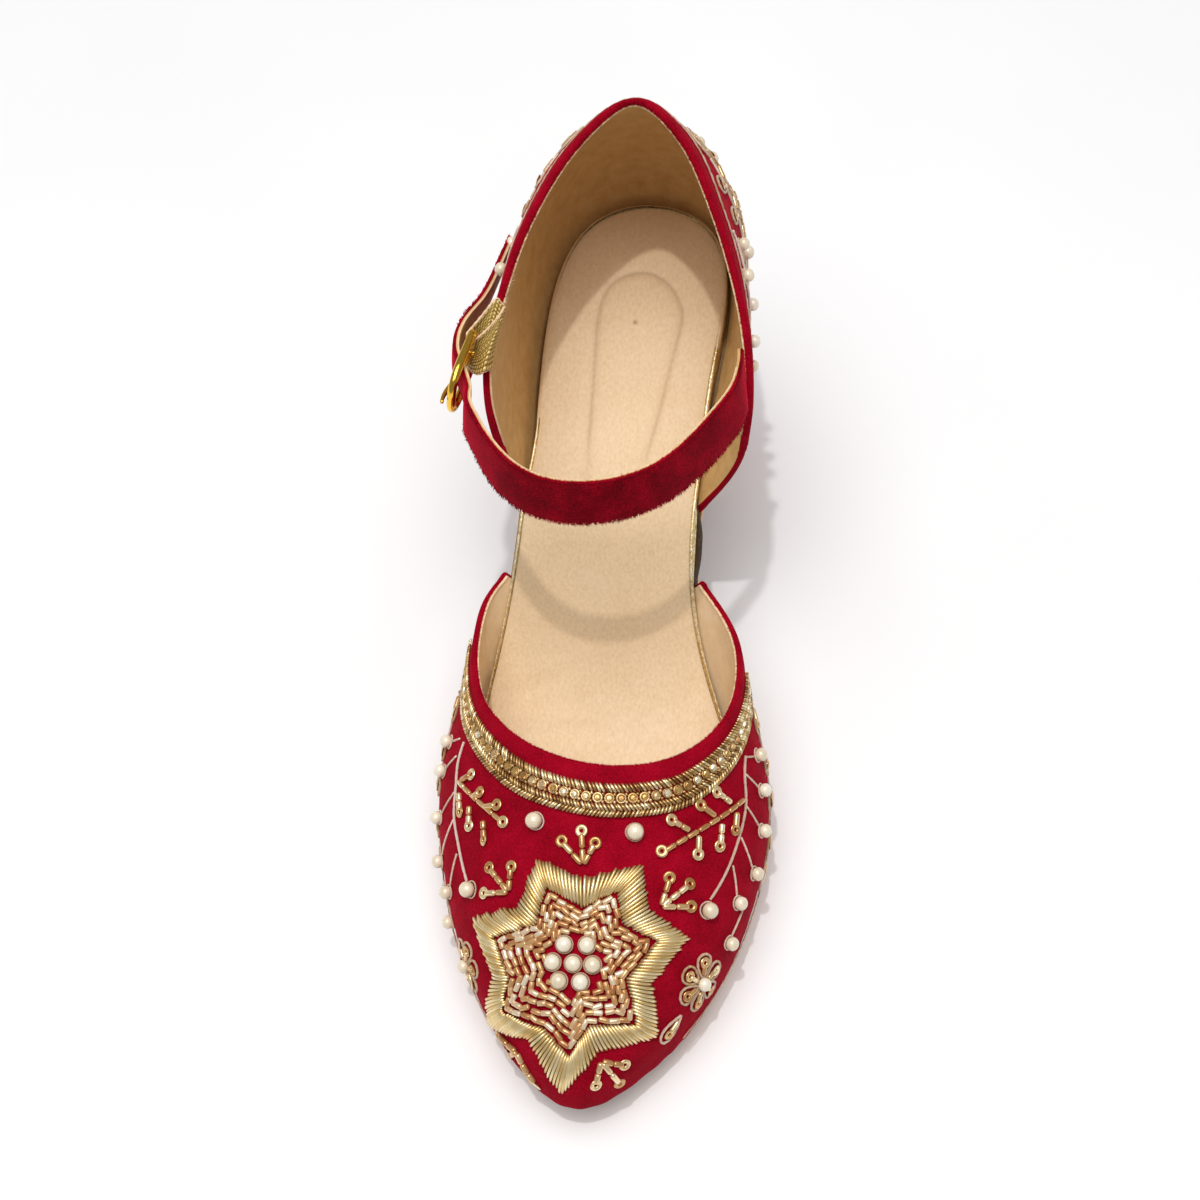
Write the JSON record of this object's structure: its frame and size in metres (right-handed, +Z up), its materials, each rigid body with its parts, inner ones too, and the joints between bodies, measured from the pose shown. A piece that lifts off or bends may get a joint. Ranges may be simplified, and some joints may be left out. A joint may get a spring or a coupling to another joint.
{
  "type": "block heel shoe",
  "caption": "Right evening shoe: closed rounded toe and closed heel part with the waist open at the sides, buckled ankle strap, padded insole and wrapped block heel.",
  "frame": {"origin": "centre of the overall box, on the floor under the shoe", "axes": "+Z up from the floor, toe toward -Y, heel toward +Y, inner side of the foot toward +X, outer side with the buckle toward -X"},
  "size_m": [0.088, 0.2432, 0.1344],
  "materials": {
    "velvet": "short-pile crimson velvet",
    "sole": "satin ochre edge, tan tread",
    "toplift": "satin tan",
    "footbed": "matte beige",
    "gilt_metal": "polished gilt",
    "gold_web": "ribbed metallic thread"
  },
  "bodies": {
    "root": {"outsole": "sole", "heel_block": "velvet", "heel_toplift": "toplift", "vamp": "velvet", "heel_counter": "velvet", "insole": "footbed", "ankle_strap": "velvet", "buckle_frame": "gilt_metal", "buckle_prong": "gilt_metal", "buckle_elastic": "gold_web"}
  },
  "joints": []
}
